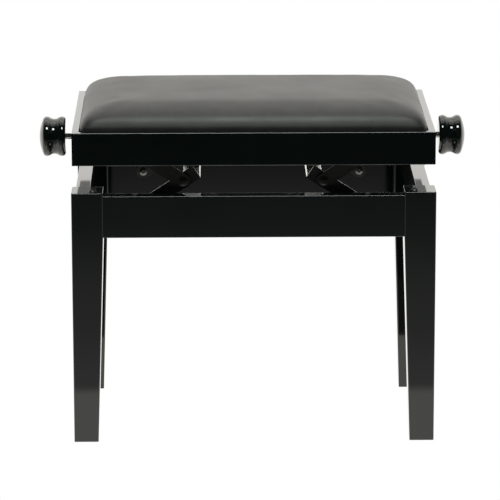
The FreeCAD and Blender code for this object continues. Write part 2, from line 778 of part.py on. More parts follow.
def arm_rise():
    """Height of a crossing above the lower pivots at rest."""
    return (seat_pivot_height() - dim("foot_pivot_height")) / 2


def arm_run():
    """Distance along X from a lower pivot to its crossing at rest."""
    return root(dim("link_length") * dim("link_length") - arm_rise() * arm_rise())


def arm_end():
    """Length of a lift arm from its pivot to its square end."""
    return dim("link_length") + dim("arm_overrun")


def arm_turn(sx):
    """Lays a piece that is drawn along its own X axis along the lift arms, with its upper side up."""
    half_round = turn_about((0, 0, 1), 0 if sx < 0 else 180)
    return turn_about((0, 1, 0), sx * arm_angle()) * half_round


def lift_arm(label, sx, sy):
    """A flat arm from its lower pivot past the crossing, round at the pivot, square at the end."""
    body = new_body(label)
    half, end = dim("arm_width") / 2, arm_end()
    sketch = new_sketch(body, "XZ_Plane")
    outline(sketch, ((0, -half), (end, -half), (end, half), (0, half, half)))
    add_circle(sketch, 0, 0, dim("pin_radius") + dim("pin_play"))
    add_circle(sketch, dim("link_length"), 0, dim("pin_radius"))
    pad(body, sketch, dim("plate_thickness"), both_ways=True)
    place(body, sx * dim("pivot_spread"), sy * dim("arm_layer"), dim("foot_pivot_height"), arm_turn(sx))
    return node(body)


def link(label, sx, sy):
    """A flat link from the seat pivot down to the crossing, round at both ends."""
    body = new_body(label)
    half, end = dim("arm_width") / 2, dim("link_length")
    sketch = new_sketch(body, "XZ_Plane")
    outline(sketch, ((0, -half), (end, -half, half), (end, half), (0, half, half)))
    for spot in (size_of(0), end):
        add_circle(sketch, spot, 0, dim("pin_radius") + dim("pin_play"))
    pad(body, sketch, dim("plate_thickness"), both_ways=True)
    tilt = arm_angle() if sx < 0 else 180 - arm_angle()
    place(body, sx * dim("pivot_spread"), sy * dim("link_layer"), seat_pivot_height(),
          turn_about((0, 1, 0), tilt))
    return node(body)


def cross_bar(label, sx):
    """The flat bar that ties the two arms of one side together, along their lower edges."""
    body = new_body(label)
    sketch = new_sketch(body, "XZ_Plane")
    low, end = -dim("arm_width") / 2, arm_end()
    rounded_rectangle(sketch, end - dim("bar_width"), low, end, bar_top(), dim("bar_round"))
    pad(body, sketch, 2 * arm_face(), both_ways=True)
    return node(place(body, sx * dim("pivot_spread"), 0, dim("foot_pivot_height"), arm_turn(sx)))


def bar_top():
    """The cross-bar's upper face, from the middle line of the arms."""
    return dim("plate_thickness") - dim("arm_width") / 2


def fork(label, sx):
    """The fork on the cross-bar: a web between two ears that reach along the arms to the nut's pins."""
    body = new_body(label)
    thick, eye, low, end = dim("plate_thickness"), dim("arm_width") / 2, bar_top(), arm_end()
    nut_x = 2 * dim("link_length")
    heel = end - dim("fork_foot")
    ears = new_sketch(body, "XZ_Plane")
    outline(ears, ((heel, low), (end, low), (nut_x, -eye, eye), (nut_x, eye), (heel, low + 2 * thick)))
    add_circle(ears, nut_x, 0, dim("trunnion_radius") + dim("pin_play"))
    pad(body, ears, dim("fork_gap") + 2 * thick, both_ways=True)
    opening = new_sketch(body, "XZ_Plane")
    far = 2 * nut_x
    outline(opening, ((end, -far), (far, -far), (far, far), (-far, far), (-far, low + thick),
                      (end, low + thick)))
    cut(body, opening, dim("fork_gap"))
    return node(place(body, sx * dim("pivot_spread"), 0, dim("foot_pivot_height"), arm_turn(sx)))


def crossing_pins(name, sx):
    """The rivets that join arm and link at the crossings, and the washers between the plates."""
    pin, thick, gap = dim("pin_radius"), dim("plate_thickness"), dim("side_gap")
    head, crown = dim("rivet_head_radius"), dim("rivet_head_height")
    link_outer = dim("link_layer") + thick / 2
    arm_outer = dim("arm_layer") + thick / 2
    shank = link_outer + gap - arm_face()
    x = sx * (dim("pivot_spread") - arm_run())
    z = dim("foot_pivot_height") + arm_rise()
    rivets, washers = [], []
    for _, sy in ENDS:
        rivet = turned("rivet", ((0, 0), (pin, 0), (pin, shank), (head, shank, dome_bulge(head, crown)),
                                 (0, shank + crown)))
        rivets.append(place(rivet, x, sy * arm_face(), z, pointing(0, sy, 0)))
        washer = ring("washer", pin, dim("washer_radius"), dim("link_layer") - thick / 2 - arm_outer - gap)
        washers.append(place(washer, x, sy * arm_outer, z, pointing(0, sy, 0)))
    group(f"{name}_crossing_rivets", rivets)
    group(f"{name}_crossing_washers", washers)


def nut(name, sx):
    """A square nut on the spindle with a round pin on its front and back faces."""
    body = new_body(f"{name}_nut")
    half = dim("nut_size") / 2
    block = new_sketch(body, "YZ_Plane")
    rounded_rectangle(block, -half, -half, half, half, dim("nut_round"))
    pad(body, block, dim("nut_length"), both_ways=True)
    pins = new_sketch(body, "XZ_Plane")
    add_circle(pins, 0, 0, dim("trunnion_radius"))
    pad(body, pins, 2 * dim("trunnion_half"), both_ways=True)
    drill(body, "YZ_Plane", 0, [(0, 0, dim("spindle_radius") + dim("pin_play"))], dim("nut_length"))
    x = sx * (dim("pivot_spread") - 2 * arm_run())
    node(place(body, x, 0, seat_pivot_height()))
    clips = []
    for _, sy in ENDS:
        clip = ring("clip", dim("trunnion_radius"), dim("clip_radius"), dim("clip_thickness"))
        level = dim("fork_gap") / 2 + dim("plate_thickness") + dim("side_gap")
        clips.append(place(clip, x, sy * level, seat_pivot_height(), pointing(0, sy, 0)))
    group(f"{name}_nut_clips", clips)


def half_scissor(name, sx):
    for end_name, sy in ENDS:
        lift_arm(f"{name}_lift_arm_{end_name}", sx, sy)
        link(f"{name}_link_{end_name}", sx, sy)
    cross_bar(f"{name}_cross_bar", sx)
    fork(f"{name}_fork", sx)
    crossing_pins(name, sx)
    nut(name, sx)


# ---------------------------------------------------------------- spindle and knobs

def spindle():
    """The rod through both side rails: a thick threaded stretch between two plain ends."""
    thick, thin = dim("spindle_radius"), dim("journal_radius")
    half = dim("spindle_half")
    tip = dim("seat_length") / 2 + dim("knob_gap") + dim("knob_insert_length") - dim("knob_insert_floor")
    slope = thick - thin
    rod = turned("spindle", ((0, -tip), (thin, -tip), (thin, -half - slope), (thick, -half),
                             (thick, half), (thin, half + slope), (thin, tip), (0, tip)))
    node(place(rod, 0, 0, seat_pivot_height(), pointing(1, 0, 0)))


def knob(name, sx):
    """A turned knob: a flat dome, two round rims with a waist between them, a round-cornered back."""
    wide, long, rim = dim("knob_radius"), dim("knob_length"), dim("knob_rim")
    bore, deep = dim("knob_insert_radius"), dim("knob_insert_length")
    crown, corner = dim("knob_dome"), dim("knob_corner")
    shoulder = long - crown
    # the waist's middle arc runs between two points half way down its slopes
    half, slope = dim("knob_waist") / 2, (shoulder - rim) / 4
    lip = dome_bulge(slope, half)
    # the dome's sphere meets the corner's arc without an edge
    sphere = (wide * wide + crown * crown - 2 * wide * corner) / (2 * (crown - corner))
    side_share = (wide - corner) / (sphere - corner)
    rise_share = (sphere - crown) / (sphere - corner)
    meet_radius = wide - corner + corner * side_share
    meet_rise = corner * rise_share
    chord = root((wide - meet_radius) * (wide - meet_radius) + meet_rise * meet_rise)
    corner_bulge = corner - root(corner * corner - chord * chord / 4)
    body = turned(f"knob_{name}",
                  ((0, deep), (bore, deep), (bore, 0), (wide - rim, 0, rim * QUARTER_BULGE),
                   (wide, rim, lip), (wide - half, rim + slope, -half),
                   (wide - half, shoulder - slope, lip), (wide, shoulder, corner_bulge),
                   (meet_radius, shoulder + meet_rise, dome_bulge(meet_radius, crown - meet_rise)),
                   (0, long)))
    x = dim("seat_length") / 2 + dim("knob_gap")
    return node(place(body, sx * x, 0, seat_pivot_height(), pointing(sx, 0, 0)))


def spindle_fittings():
    """Bushes in the side rails, thrust collars with their screws, and the knobs' steel inserts."""
    thin, play = dim("journal_radius"), dim("pin_play")
    rail_inner = dim("seat_length") / 2 - dim("rail_thickness")
    flange = dim("flange_thickness")
    collar_start = rail_inner - flange - dim("side_gap")
    knob_x = dim("seat_length") / 2 + dim("knob_gap")
    collars, inserts = [], []
    for name, sx in SIDES:
        bush = turned(f"spindle_bush_{name}",
                      ((thin + play, -flange), (dim("flange_radius"), -flange), (dim("flange_radius"), 0),
                       (dim("bush_radius"), 0), (dim("bush_radius"), dim("rail_thickness")),
                       (thin + play, dim("rail_thickness"))))
        node(place(bush, sx * rail_inner, 0, seat_pivot_height(), pointing(sx, 0, 0)))
        collar = ring("collar", thin, dim("flange_radius"), dim("collar_length"))
        collars.append(place(collar, sx * collar_start, 0, seat_pivot_height(), pointing(-sx, 0, 0)))
        floor = dim("knob_insert_floor")
        insert = turned("insert", ((thin, 0), (dim("knob_insert_radius"), 0),
                                   (dim("knob_insert_radius"), dim("knob_insert_length")),
                                   (0, dim("knob_insert_length")),
                                   (0, dim("knob_insert_length") - floor),
                                   (thin, dim("knob_insert_length") - floor)))
        inserts.append(place(insert, sx * knob_x, 0, seat_pivot_height(), pointing(sx, 0, 0)))
    group("thrust_collars", collars)
    group("knob_inserts", inserts)


# ---------------------------------------------------------------- checks and files

def check_document():
    """Stops if any object of the document failed or any piece has no sound shape."""
    DOC.recompute()
    for item in DOC.Objects:
        faults = [state for state in item.State if state in ("Invalid", "Error")]
        if faults:
            raise RuntimeError(f"{item.Name} ({item.Label}): {faults}")
    for item in NODES:
        if item.Shape.isNull() or not item.Shape.isValid() or not item.Shape.Solids:
            raise RuntimeError(f"{item.Label} has no valid solid")


def write_parts():
    os.makedirs("parts", exist_ok=True)
    for item in NODES:
        item.Shape.exportStep(f"parts/{item.Label}.step")


def main():
    fill_sheet()
    leg_frame()
    seat_frame()
    upholstery()
    for name, sx in SIDES:
        half_scissor(name, sx)
    spindle()
    for name, sx in SIDES:
        knob(name, sx)
    spindle_fittings()
    check_document()
    write_parts()
    print(f"{len(NODES)} pieces")


main()
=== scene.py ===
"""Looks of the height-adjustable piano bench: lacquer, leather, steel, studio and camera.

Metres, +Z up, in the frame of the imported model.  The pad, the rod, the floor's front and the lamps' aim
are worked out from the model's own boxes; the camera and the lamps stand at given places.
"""
import json
import math

import bmesh
import bpy
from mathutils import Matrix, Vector, noise


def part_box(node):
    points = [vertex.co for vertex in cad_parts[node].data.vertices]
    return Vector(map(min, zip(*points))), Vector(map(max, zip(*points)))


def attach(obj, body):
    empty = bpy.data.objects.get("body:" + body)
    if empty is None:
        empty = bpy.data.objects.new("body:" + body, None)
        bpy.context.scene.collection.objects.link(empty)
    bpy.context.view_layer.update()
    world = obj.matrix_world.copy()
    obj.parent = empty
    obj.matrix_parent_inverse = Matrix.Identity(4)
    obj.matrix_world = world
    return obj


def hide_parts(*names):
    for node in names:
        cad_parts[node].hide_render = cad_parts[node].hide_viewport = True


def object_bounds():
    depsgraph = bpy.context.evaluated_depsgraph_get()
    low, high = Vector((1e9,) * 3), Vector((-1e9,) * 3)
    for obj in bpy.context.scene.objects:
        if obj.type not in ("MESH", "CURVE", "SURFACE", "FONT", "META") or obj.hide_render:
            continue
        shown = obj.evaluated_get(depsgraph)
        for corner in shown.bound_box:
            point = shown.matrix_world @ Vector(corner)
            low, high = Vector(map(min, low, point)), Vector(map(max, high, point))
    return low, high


MM = 0.001
NOISE_LOW, NOISE_HIGH = 0.3, 0.7    # most of a noise's values lie between these
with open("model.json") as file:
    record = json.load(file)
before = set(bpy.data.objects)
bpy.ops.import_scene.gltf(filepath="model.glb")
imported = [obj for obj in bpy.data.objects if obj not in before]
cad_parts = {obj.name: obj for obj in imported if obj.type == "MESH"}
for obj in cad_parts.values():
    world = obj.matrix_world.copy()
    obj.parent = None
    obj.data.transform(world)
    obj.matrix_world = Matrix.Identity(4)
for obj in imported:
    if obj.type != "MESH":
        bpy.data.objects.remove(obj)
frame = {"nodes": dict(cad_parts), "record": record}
CAD_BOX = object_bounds()
NODES = frame["nodes"]


# ---------------------------------------------------------------- small helpers

def new_object(name, mesh, body):
    """Links a finished mesh as a piece that rides on a body."""
    piece = bpy.data.objects.new(name, mesh)
    bpy.context.scene.collection.objects.link(piece)
    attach(piece, body)
    return piece


def mesh_from(name, points, faces, smooth=True):
    """A mesh from plain lists, checked and shaded smooth or flat."""
    mesh = bpy.data.meshes.new(name)
    mesh.from_pydata(points, [], faces)
    mesh.validate()
    mesh.update()
    for face in mesh.polygons:
        face.use_smooth = smooth
    return mesh


def tidy(mesh, gap=1e-6):
    """Merges doubled points and turns all faces outward."""
    work = bmesh.new()
    work.from_mesh(mesh)
    bmesh.ops.remove_doubles(work, verts=work.verts, dist=gap)
    bmesh.ops.recalc_face_normals(work, faces=work.faces)
    work.to_mesh(mesh)
    work.free()


# ---------------------------------------------------------------- material nodes

def colour_ramp(tree, source, stops):
    """A ramp node over a source, with (position, colour) stops."""
    node = tree.nodes.new("ShaderNodeValToRGB")
    elements = node.color_ramp.elements
    for position, _ in stops[1:-1]:
        elements.new(position)
    for element, (position, colour) in zip(elements, stops):
        element.position = position
        element.color = (*colour, 1)
    tree.links.new(source, node.inputs["Fac"])
    return node


class Paint:
    """A node material under construction: a Principled shader and short calls for its inputs."""

    def __init__(self, name, **sockets):
        self.material = bpy.data.materials.new(name)
        self.material.use_nodes = True
        self.tree = self.material.node_tree
        self.shader = self.tree.nodes["Principled BSDF"]
        self.coordinates = self.tree.nodes.new("ShaderNodeTexCoord")
        for label, value in sockets.items():
            self.shader.inputs[label.replace("_", " ")].default_value = value

    def link(self, source, target):
        self.tree.links.new(source, target)

    def place(self, stretch=(1, 1, 1)):
        """The object's own coordinates, stretched."""
        mapping = self.tree.nodes.new("ShaderNodeMapping")
        mapping.inputs["Scale"].default_value = stretch
        self.link(self.coordinates.outputs["Object"], mapping.inputs["Vector"])
        return mapping.outputs["Vector"]

    def noise(self, scale, detail=3, rough=0.5, distortion=0, stretch=(1, 1, 1)):
        """Cloudy noise, from 0 to 1; the scale is in clouds per metre, nearly."""
        node = self.tree.nodes.new("ShaderNodeTexNoise")
        node.inputs["Scale"].default_value = scale
        node.inputs["Detail"].default_value = detail
        node.inputs["Roughness"].default_value = rough
        node.inputs["Distortion"].default_value = distortion
        self.link(self.place(stretch), node.inputs["Vector"])
        return node.outputs["Fac"]

    def cells(self, scale, feature="F1", jitter=1.0):
        """Distances in a cell pattern: to the cells' middles, or to their edges."""
        node = self.tree.nodes.new("ShaderNodeTexVoronoi")
        node.feature = feature
        node.inputs["Scale"].default_value = scale
        node.inputs["Randomness"].default_value = jitter
        self.link(self.place(), node.inputs["Vector"])
        return node.outputs["Distance"]

    def between(self, source, low, high, start=NOISE_LOW, end=NOISE_HIGH):
        """A number that runs from low to high as its source runs from start to end."""
        node = self.tree.nodes.new("ShaderNodeMapRange")
        node.inputs["From Min"].default_value = start
        node.inputs["From Max"].default_value = end
        node.inputs["To Min"].default_value = low
        node.inputs["To Max"].default_value = high
        self.link(source, node.inputs["Value"])
        return node.outputs["Result"]

    def shades(self, source, dark, light, start=NOISE_LOW, end=NOISE_HIGH):
        """A colour that runs from dark to light as its source runs from start to end."""
        return colour_ramp(self.tree, source, ((start, dark), (end, light))).outputs["Color"]

    def blend(self, fac, first, second):
        """A mix of two numbers."""
        node = self.tree.nodes.new("ShaderNodeMix")
        node.inputs["Factor"].default_value = fac
        self.link(first, node.inputs["A"])
        self.link(second, node.inputs["B"])
        return node.outputs["Result"]

    def colour(self, source):
        self.link(source, self.shader.inputs["Base Color"])

    def roughness(self, source):
        self.link(source, self.shader.inputs["Roughness"])

    def relief(self, *layers):
        """Stacks bumps, each (source, height in metres, strength)."""
        normal = None
        for source, height, strength in layers:
            node = self.tree.nodes.new("ShaderNodeBump")
            node.inputs["Distance"].default_value = height
            node.inputs["Strength"].default_value = strength
            self.link(source, node.inputs["Height"])
            if normal is not None:
                self.link(normal, node.inputs["Normal"])
            normal = node.outputs["Normal"]
        self.link(normal, self.shader.inputs["Normal"])


# ---------------------------------------------------------------- materials

def black_lacquer():
    """Polished polyester: deep black, a faint haze, and the slow waves of a buffed surface."""
    paint = Paint("black_lacquer", IOR=1.56)
    paint.colour(paint.shades(paint.noise(9, 4), (0.0016, 0.0036, 0.0033), (0.0032, 0.0054, 0.0050)))
    haze = paint.noise(30, 6, 0.65)
    paint.roughness(paint.between(haze, 0.035, 0.085))
    paint.relief((paint.noise(45, 2), 0.4 * MM, 0.04), (paint.noise(700, 2), 0.02 * MM, 0.06))
    return paint.material


def leather():
    """Black leather with a fine pebble grain, pores and soft uneven sheen."""
    paint = Paint("black_leather", IOR=1.47, Sheen_Weight=0.04, Sheen_Roughness=0.5,
                  Specular_Tint=(1.0, 0.985, 0.95, 1))
    paint.colour(paint.shades(paint.noise(55, 5, 0.6), (0.012, 0.0118, 0.0110), (0.019, 0.0185, 0.0172),
                              start=0.35, end=0.65))
    pebbles = paint.cells(1050, "F1", 0.9)
    creases = paint.cells(520, "DISTANCE_TO_EDGE", 1.0)
    paint.roughness(paint.blend(0.5, paint.between(pebbles, 0.42, 0.54, 0.1, 0.6),
                                paint.between(paint.noise(14, 3), 0.42, 0.54)))
    paint.relief((creases, 0.12 * MM, 0.25), (pebbles, 0.10 * MM, 0.35),
                 (paint.noise(2600, 3), 0.03 * MM, 0.25))
    return paint.material


def black_steel():
    """Powder-coated steel: satin black with a fine orange-peel skin."""
    paint = Paint("black_steel", IOR=1.5)
    paint.colour(paint.shades(paint.noise(60, 4), (0.010, 0.010, 0.010), (0.019, 0.019, 0.018)))
    paint.roughness(paint.between(paint.noise(160, 5), 0.28, 0.46))
    paint.relief((paint.noise(900, 3), 0.05 * MM, 0.3), (paint.noise(120, 2), 0.2 * MM, 0.08))
    return paint.material


def dark_steel():
    """Black-oxide steel, slightly oily, with faint turning marks."""
    paint = Paint("dark_steel", Metallic=1.0)
    paint.colour(paint.shades(paint.noise(80, 4), (0.10, 0.10, 0.10), (0.16, 0.16, 0.155)))
    paint.roughness(paint.between(paint.noise(300, 4), 0.24, 0.4))
    paint.relief((paint.noise(700, 3), 0.03 * MM, 0.2))
    return paint.material


def zinc_steel():
    """Bright zinc-plated steel with faint drawing lines and cloudy passivation."""
    paint = Paint("zinc_steel", Metallic=1.0)
    paint.colour(paint.shades(paint.noise(45, 5, 0.6), (0.60, 0.61, 0.62), (0.78, 0.78, 0.75)))
    lines = paint.noise(500, 4, 0.6, stretch=(1, 0.04, 1))
    paint.roughness(paint.between(lines, 0.18, 0.32))
    paint.relief((lines, 0.01 * MM, 0.1))
    return paint.material


def brass():
    """Turned brass with fine tool marks round its axis."""
    paint = Paint("turned_brass", Metallic=1.0)
    paint.colour(paint.shades(paint.noise(70, 4), (0.56, 0.40, 0.16), (0.74, 0.56, 0.26)))
    turning = paint.noise(900, 3, 0.6, stretch=(1, 0.1, 0.1))
    paint.roughness(paint.between(turning, 0.2, 0.38))
    paint.relief((turning, 0.03 * MM, 0.2))
    return paint.material


def bare_wood(name, light, dark, stretch):
    """Unfinished timber: long grain, pores and slightly raised fibres along the stretched axis."""
    paint = Paint(name)
    grain = paint.noise(28, 6, 0.62, 0.8, stretch)
    pores = paint.noise(420, 3, 0.6, stretch=stretch)
    paint.colour(paint.shades(paint.blend(0.3, grain, pores), dark, light))
    paint.roughness(paint.between(pores, 0.55, 0.75))
    paint.relief((grain, 0.2 * MM, 0.2), (pores, 0.1 * MM, 0.3))
    return paint.material


def rubber():
    """Black rubber with a faint bloom."""
    paint = Paint("black_rubber")
    paint.colour(paint.shades(paint.noise(300, 4), (0.01, 0.01, 0.01), (0.022, 0.022, 0.021)))
    paint.roughness(paint.between(paint.noise(400, 4), 0.3, 0.5))
    paint.relief((paint.noise(1500, 2), 0.02 * MM, 0.2))
    return paint.material


def nylon():
    """Dark moulded nylon, slightly grainy."""
    paint = Paint("dark_nylon")
    paint.colour(paint.shades(paint.noise(250, 4), (0.03, 0.03, 0.029), (0.052, 0.05, 0.048)))
    paint.roughness(paint.between(paint.noise(300, 5), 0.4, 0.6))
    paint.relief((paint.noise(1200, 3), 0.03 * MM, 0.3))
    return paint.material


def foam():
    """Cut polyurethane foam with open cells."""
    paint = Paint("cut_foam")
    paint.colour(paint.shades(paint.noise(500, 4), (0.62, 0.56, 0.38), (0.78, 0.73, 0.55)))
    paint.roughness(paint.between(paint.noise(700, 3), 0.8, 0.95))
    paint.relief((paint.cells(900), 0.4 * MM, 0.6))
    return paint.material


PAINTS = {
    "lacquer": black_lacquer(),
    "leather": leather(),
    "black_steel": black_steel(),
    "zinc_steel": zinc_steel(),
    "brass": brass(),
    "beech": bare_wood("plain_beech", (0.52, 0.34, 0.19), (0.40, 0.25, 0.13), (1, 0.08, 1)),
    # near-black plywood and beech for the board and blocks under the seat
    "plywood": bare_wood("near_black_plywood", (0.020, 0.019, 0.017), (0.011, 0.010, 0.009), (0.08, 1, 1)),
    "black_stain": bare_wood("near_black_beech", (0.022, 0.019, 0.016), (0.012, 0.010, 0.009), (1, 0.08, 1)),
    "dark_steel": dark_steel(),
    "foam": foam(),
    "nylon": nylon(),
    "rubber": rubber(),
}


def finish_with(piece, slot):
    """Gives a whole piece the finish of one slot."""
    piece.data.materials.clear()
    piece.data.materials.append(PAINTS[slot])


def paint_frame():
    """Gives every carried-over CAD node the finish of its record slot."""
    for row in frame["record"]["subparts"]:
        piece = NODES[row["node"]]
        finish_with(piece, row["material_slot"])


# ---------------------------------------------------------------- leather pad

PAD_ROLL = 58 * MM          # how far in from each side the pad's top begins to fall
ROUND = 2                   # squareness of a plain quarter circle
PAD_SQUARENESS = 2.5        # squareness of the roll's section
PAD_CORNER = 8.0            # squareness of the outline's corners where it leaves the frame
PAD_BELLY = 1.0 * MM        # how far the sides stand out over the frame
PAD_CLEARANCE = 0.4 * MM    # between the pad's upright wall and its solid
PAD_CROWN = 3.0 * MM        # how much the middle stands above the end of the roll
PAD_SWELLING = 1.6 * MM     # what the inflation adds on top
PAD_OVERFILL = 0.7 * MM     # how far the stuffed top stands over its solid
PAD_MARGIN = 0.25 * MM      # least distance of the finished pad from its solid's sides and bottom
PAD_LIP = 1 * MM            # height over the rim up to which that distance is kept
BELLY_HEIGHT = 0.7          # share of the roll's height over which the sides stand out
CORNER_FADE = 4             # power with which the outline's squareness fades as the roll turns inward
CLOTH_QUALITY = 6           # solver steps per frame
EVENING_SHARE = 0.5         # how far each round of evening moves a point
EVENING_ROUNDS = 20


def soft_share(swing, squareness):
    """A cosine or sine, squared off: the coordinates of a superellipse."""
    return max(0.0, swing) ** (ROUND / squareness)


def pad_ring(half_x, half_y, reach, squareness, side_points=40, corner_points=18):
    """A rounded rectangle whose soft corners reach out from the same four centres, anticlockwise."""
    inner_x, inner_y = half_x - PAD_ROLL, half_y - PAD_ROLL
    corners = []
    for turn, (sx, sy) in enumerate(((1, 1), (-1, 1), (-1, -1), (1, -1))):
        for step in range(corner_points + 1):
            angle = math.pi / 2 * step / corner_points
            along = reach * soft_share(math.cos(angle), squareness)
            across = reach * soft_share(math.sin(angle), squareness)
            out = (along, across) if turn % 2 == 0 else (across, along)
            corners.append(Vector((sx * (inner_x + out[0]), sy * (inner_y + out[1]))))
    points = []
    for number, spot in enumerate(corners):
        points.append(spot)
        if (number + 1) % (corner_points + 1) == 0:
            goal = corners[(number + 1) % len(corners)]
            points += [spot.lerp(goal, step / side_points) for step in range(1, side_points)]
    return points


def cushion_cage():
    """The crowned pad: an upright wall inside the frame, a soft roll all round, a crowned top."""
    low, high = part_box("seat_cover")
    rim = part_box("seat_rail_front")[1].z
    half_x, half_y = high.x, high.y
    rise = high.z - rim - PAD_CROWN - PAD_SWELLING + PAD_OVERFILL
    roll_steps, top_steps = 32, 14
    wall = PAD_ROLL - PAD_CLEARANCE
    rows = [(wall, PAD_CORNER, 1.0, low.z + PAD_CLEARANCE), (wall, PAD_CORNER, 1.0, rim - PAD_SWELLING)]
    for step in range(roll_steps + 1):
        angle = math.pi / 2 * step / roll_steps
        spread = soft_share(math.cos(angle), PAD_SQUARENESS)
        lift = rise * soft_share(math.sin(angle), PAD_SQUARENESS)
        belly = PAD_BELLY * math.sin(min(1.0, lift / (BELLY_HEIGHT * rise)) * math.pi)
        squareness = ROUND + (PAD_CORNER - ROUND) * spread ** CORNER_FADE
        rows.append((PAD_ROLL * spread + belly, squareness, 1.0, rim + lift))
    for step in range(1, top_steps):
        rows.append((0.0, ROUND, 1 - step / top_steps, rim + rise))
    points, faces = [], []
    for reach, squareness, scale, height in rows:
        for spot in pad_ring(half_x, half_y, reach, squareness):
            x, y = spot * scale
            crown = PAD_CROWN * max(0.0, (1 - (x / half_x) ** 2) * (1 - (y / half_y) ** 2))
            points.append((x, y, height + (crown if height > rim else 0)))
    count = len(points) // len(rows)
    for row in range(len(rows) - 1):
        for step in range(count):
            a, b = row * count + step, row * count + (step + 1) % count
            faces.append((a, b, b + count, a + count))
    faces.append(tuple(range(count))[::-1])
    faces.append(tuple(range((len(rows) - 1) * count, len(rows) * count)))
    mesh = mesh_from("seat_cushion", points, faces)
    tidy(mesh)
    return mesh


def apply_modifiers(piece):
    """Replaces a piece's mesh by what its modifiers make of it."""
    shape = piece.evaluated_get(bpy.context.evaluated_depsgraph_get())
    mesh = bpy.data.meshes.new_from_object(shape)
    piece.modifiers.clear()
    old, piece.data = piece.data, mesh
    bpy.data.meshes.remove(old)


def inflate(piece, voxel, pressure, frames, cap):
    """Remeshes a closed pad, settles cloth under pressure on it, limits its moves and evens it out."""
    remesh = piece.modifiers.new("remesh", "REMESH")
    remesh.mode = "VOXEL"
    remesh.voxel_size = voxel
    apply_modifiers(piece)
    rest = [point.co.copy() for point in piece.data.vertices]
    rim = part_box("seat_rail_front")[1].z
    wall = [number for number, spot in enumerate(rest) if spot.z < rim + voxel]
    piece.vertex_groups.new(name="pinned").add(wall, 1.0, "REPLACE")
    cloth = piece.modifiers.new("cloth", "CLOTH")
    cloth.settings.vertex_group_mass = "pinned"
    cloth.settings.use_pressure = True
    cloth.settings.uniform_pressure_force = pressure
    cloth.settings.effector_weights.gravity = 0
    cloth.settings.quality = CLOTH_QUALITY
    cloth.point_cache.frame_start = 1
    cloth.point_cache.frame_end = frames
    scene = bpy.context.scene
    for number in range(1, frames + 1):
        scene.frame_set(number)
    apply_modifiers(piece)
    scene.frame_set(1)
    for point, start in zip(piece.data.vertices, rest):
        move = point.co - start
        if move.length > cap:
            point.co = start + move * (cap / move.length)
    piece.vertex_groups.clear()
    piece.vertex_groups.new(name="wall").add(wall, 1.0, "REPLACE")
    smooth = piece.modifiers.new("smooth", "SMOOTH")
    smooth.factor = EVENING_SHARE
    smooth.iterations = EVENING_ROUNDS
    smooth.vertex_group = "wall"
    smooth.invert_vertex_group = True
    apply_modifiers(piece)
    piece.vertex_groups.clear()


def sit_in_frame(piece):
    """Keeps the pad inside its opening below the rim, and flat underneath."""
    low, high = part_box("seat_cover")
    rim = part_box("seat_rail_front")[1].z
    for point in piece.data.vertices:
        spot = point.co
        if spot.z < rim + PAD_LIP:
            spot.x = max(low.x + PAD_MARGIN, min(high.x - PAD_MARGIN, spot.x))
            spot.y = max(low.y + PAD_MARGIN, min(high.y - PAD_MARGIN, spot.y))
        spot.z = max(spot.z, low.z + PAD_MARGIN)


LEATHER_WAVE = 0.35 * MM    # slow unevenness of the stuffing
WAVE_SCALES = (9, 9, 14)    # waves per metre, nearly, along each axis
LEATHER_RIPPLE = 0.1 * MM   # quicker unevenness on top of it
RIPPLE_SCALES = (34, 34, 60)
RIPPLE_SHIFT = 7            # keeps the ripples from lining up with the waves
LEATHER_PLEAT = 0.2 * MM    # depth of the two gathered pleats at each corner
PLEAT_SPACING = 4.5 * MM    # of each pleat from the corner's diagonal
PLEAT_WIDTH = 1.4 * MM
PLEAT_REACH = 26 * MM       # how far the pleats run in from the corner
LEATHER_START = 8 * MM      # height over the rim at which the unevenness is at its full size


def unevenness(spot, scales, shift=0):
    """Smooth noise at a place."""
    return noise.noise(Vector((spot.x * scales[0] + shift, spot.y * scales[1], spot.z * scales[2])))


def soften_leather(piece):
    """Slow, shallow unevenness of stuffed leather, and the gathered pleats at the four corners."""
    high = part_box("seat_cover")[1]
    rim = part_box("seat_rail_front")[1].z
    outward = [point.normal.copy() for point in piece.data.vertices]
    for point, normal in zip(piece.data.vertices, outward):
        spot = point.co
        above = max(0.0, min(1.0, (spot.z - rim) / LEATHER_START))
        wave = unevenness(spot, WAVE_SCALES)
        ripple = unevenness(spot, RIPPLE_SCALES, RIPPLE_SHIFT)
        corner = Vector((abs(spot.x) - high.x, abs(spot.y) - high.y))
        across = (corner.x - corner.y) / math.sqrt(2)
        near = math.exp(-(corner.length / PLEAT_REACH) ** 2)
        pleats = sum(math.exp(-((across - middle) / PLEAT_WIDTH) ** 2)
                     for middle in (-PLEAT_SPACING, PLEAT_SPACING))
        rise = LEATHER_WAVE * wave + LEATHER_RIPPLE * ripple - LEATHER_PLEAT * near * pleats
        point.co = spot + normal * above * rise


def seat_cushion():
    """The stuffed pad on its own body, standing for the plain CAD cover and foam."""
    piece = new_object("seat_cushion", cushion_cage(), "seat")
    inflate(piece, voxel=5 * MM, pressure=4, frames=20, cap=PAD_SWELLING)
    sit_in_frame(piece)
    subdivide = piece.modifiers.new("subdivide", "SUBSURF")
    subdivide.levels = subdivide.render_levels = 1
    apply_modifiers(piece)
    soften_leather(piece)
    sit_in_frame(piece)
    for face in piece.data.polygons:
        face.use_smooth = True
    finish_with(piece, "leather")
    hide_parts("seat_cover", "seat_foam")


# ---------------------------------------------------------------- threaded spindle

THREAD_LEAD = 5 * MM        # travel of a nut in one turn
THREAD_DEPTH = 1.1 * MM
THREAD_HALF = 112 * MM      # half length of the thick stretch
THREAD_GAP = 9 * MM         # plain stretch in the middle, between the two hands of thread
THREAD_INSET = 0.05 * MM    # of the crests under the CAD rod's surface
THREAD_CREST = 0.8          # slope at which the crest ends, from 1 in its middle to 0 in the root
THREAD_STEEPNESS = 1.5      # of the flanks
JOURNAL = 4.5 * MM          # radius of the plain ends
TURN_STEPS = 32             # faces round the rod
LEAD_STEPS = 10             # faces along one lead


